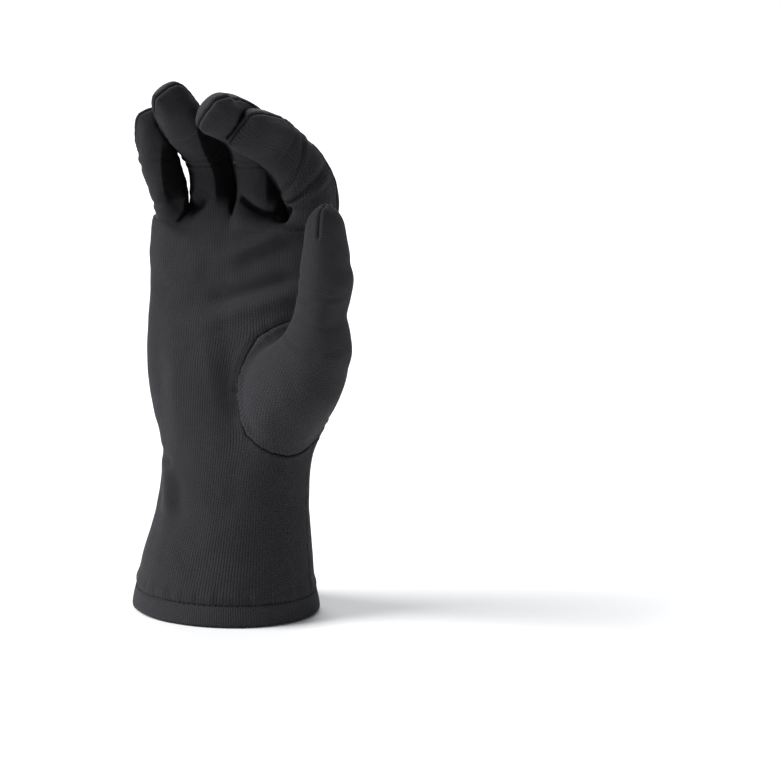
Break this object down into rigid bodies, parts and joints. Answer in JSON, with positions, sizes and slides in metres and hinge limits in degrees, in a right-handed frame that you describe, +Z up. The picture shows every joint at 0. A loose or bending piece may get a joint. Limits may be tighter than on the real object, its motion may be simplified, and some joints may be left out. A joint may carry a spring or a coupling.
{
  "type": "knitted glove liner",
  "caption": "Thin knitted liner glove for a right hand, in a half-curled worn form, sewn from a palm panel, a back panel, a set-in thumb and a turned-up cuff hem, hollow and open at the wrist.",
  "frame": {"origin": "middle of the wrist opening, in the plane of the cuff's lower edge, where a wrist holds the liner", "axes": "+Z up from the cuff to the fingertips, the palm faces -Y, and the thumb lies at +X"},
  "size_m": [0.1148, 0.0861, 0.2349],
  "materials": {
    "knit": "fine dull jersey knit, charcoal black",
    "hem_knit": "the same knit, turned back on itself and stitched"
  },
  "bodies": {
    "root": {"palm_panel": "knit", "back_panel": "knit", "thumb_piece": "knit", "cuff_hem": "hem_knit"}
  },
  "joints": []
}
